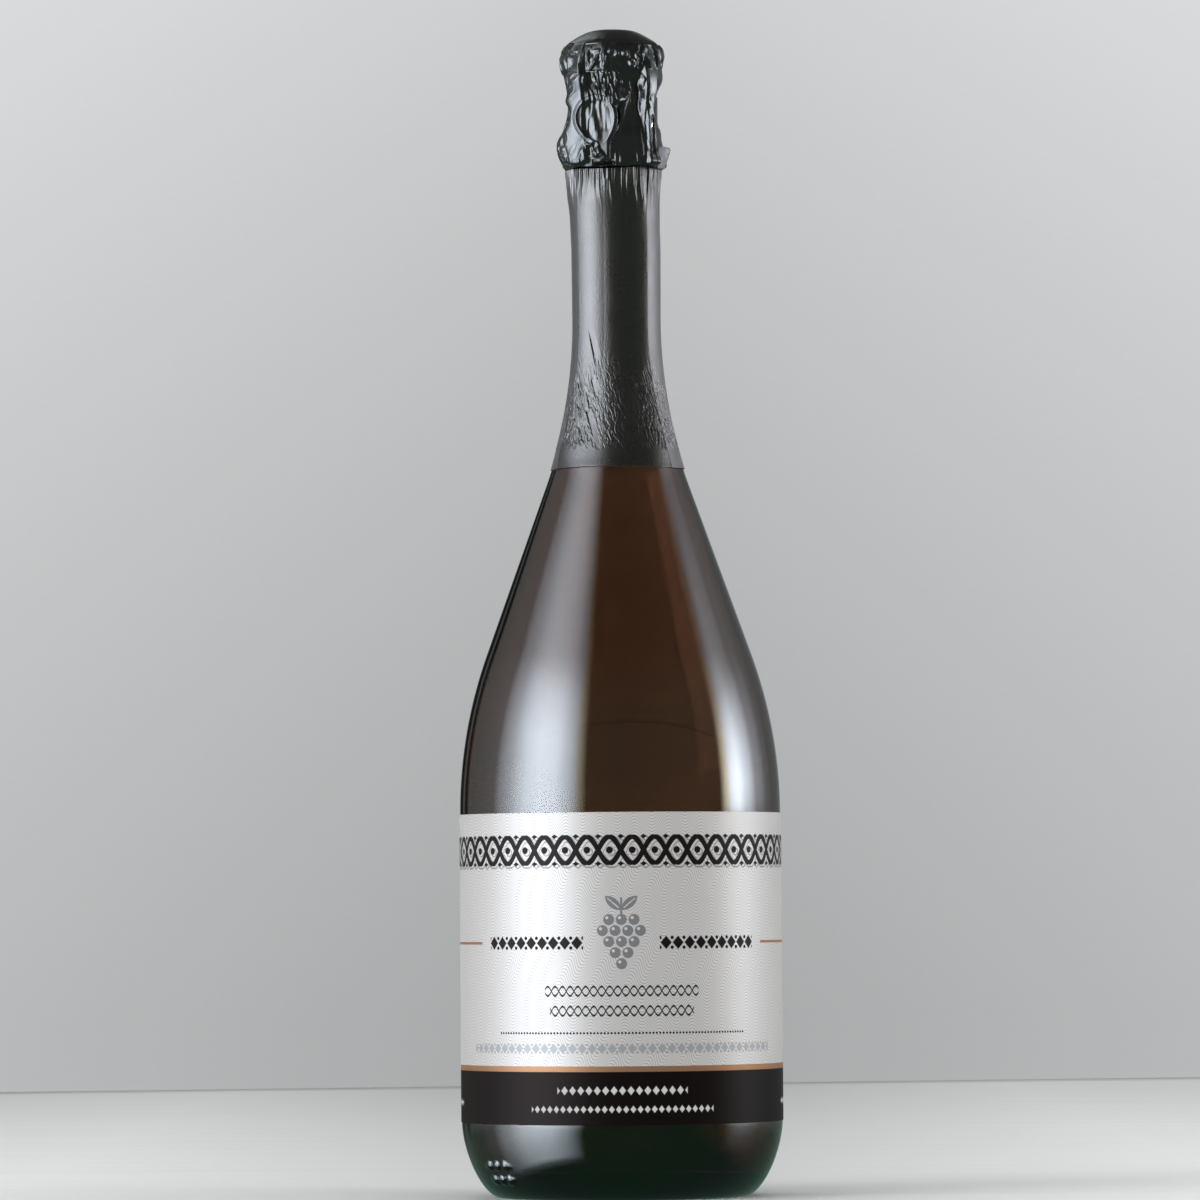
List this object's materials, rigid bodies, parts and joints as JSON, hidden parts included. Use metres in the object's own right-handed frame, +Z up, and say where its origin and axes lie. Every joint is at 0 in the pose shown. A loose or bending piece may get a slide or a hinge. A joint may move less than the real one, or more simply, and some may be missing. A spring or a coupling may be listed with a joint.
{
  "type": "sparkling wine bottle",
  "caption": "Dark glass sparkling wine bottle with wrap label, foil neck, mushroom cork and twisted wire cage whose loop swings out.",
  "frame": {"origin": "centre of the ring that the bottle stands on, on the table", "axes": "+Z up the bottle's axis, -Y towards the middle of the front label, +X to the right seen from the front"},
  "size_m": [0.0892, 0.0891, 0.3241],
  "materials": {
    "bottle_glass": "dark amber, polished",
    "wine": "clear liquid",
    "wrap_label": "printed satin paper",
    "foil_skirt": "dark lacquered foil, satin",
    "cork_body": "pressed cork grain",
    "cork_disc_upper": "natural cork",
    "cork_disc_lower": "natural cork",
    "crown_plate": "dark lacquer",
    "cage_wire": "drawn wire",
    "belt_wire": "drawn wire",
    "twist_loop": "drawn wire",
    "foil_hood": "dark lacquered foil, satin",
    "foil_loop_patch": "dark lacquered foil, satin",
    "foil_top_disc": "dark lacquered foil, satin",
    "foil_tear_tab": "thin foil, satin"
  },
  "bodies": {
    "bottle": {"bottle_glass": "bottle_glass", "wine": "wine", "wrap_label": "wrap_label", "foil_skirt": "foil_skirt"},
    "cork": {"cork_body": "cork_body", "cork_disc_upper": "cork_disc_upper", "cork_disc_lower": "cork_disc_lower"},
    "cage": {"crown_plate": "crown_plate", "cage_wire": "cage_wire", "belt_wire": "belt_wire"},
    "loop": {"twist_loop": "twist_loop", "foil_loop_patch": "foil_loop_patch"},
    "foil": {"foil_hood": "foil_hood", "foil_top_disc": "foil_top_disc", "foil_tear_tab": "foil_tear_tab"}
  },
  "joints": [
    {"name": "cork_pull", "type": "slide", "parent": "bottle", "child": "cork", "axis": [0, 0, 1], "range_m": [0, 0.045]},
    {"name": "cage_lift", "type": "slide", "parent": "cork", "child": "cage", "axis": [0, 0, 1], "range_m": [0, 0.045]},
    {"name": "foil_lift", "type": "slide", "parent": "cage", "child": "foil", "axis": [0, 0, 1], "range_m": [0, 0.045], "deforming": ["foil_hood"]},
    {"name": "loop_swing", "type": "hinge", "parent": "cage", "child": "loop", "pos_m": [-0.00416, -0.01279, 0.2866], "axis": [0.9511, -0.309, 0], "range_deg": [0, 95]}
  ]
}
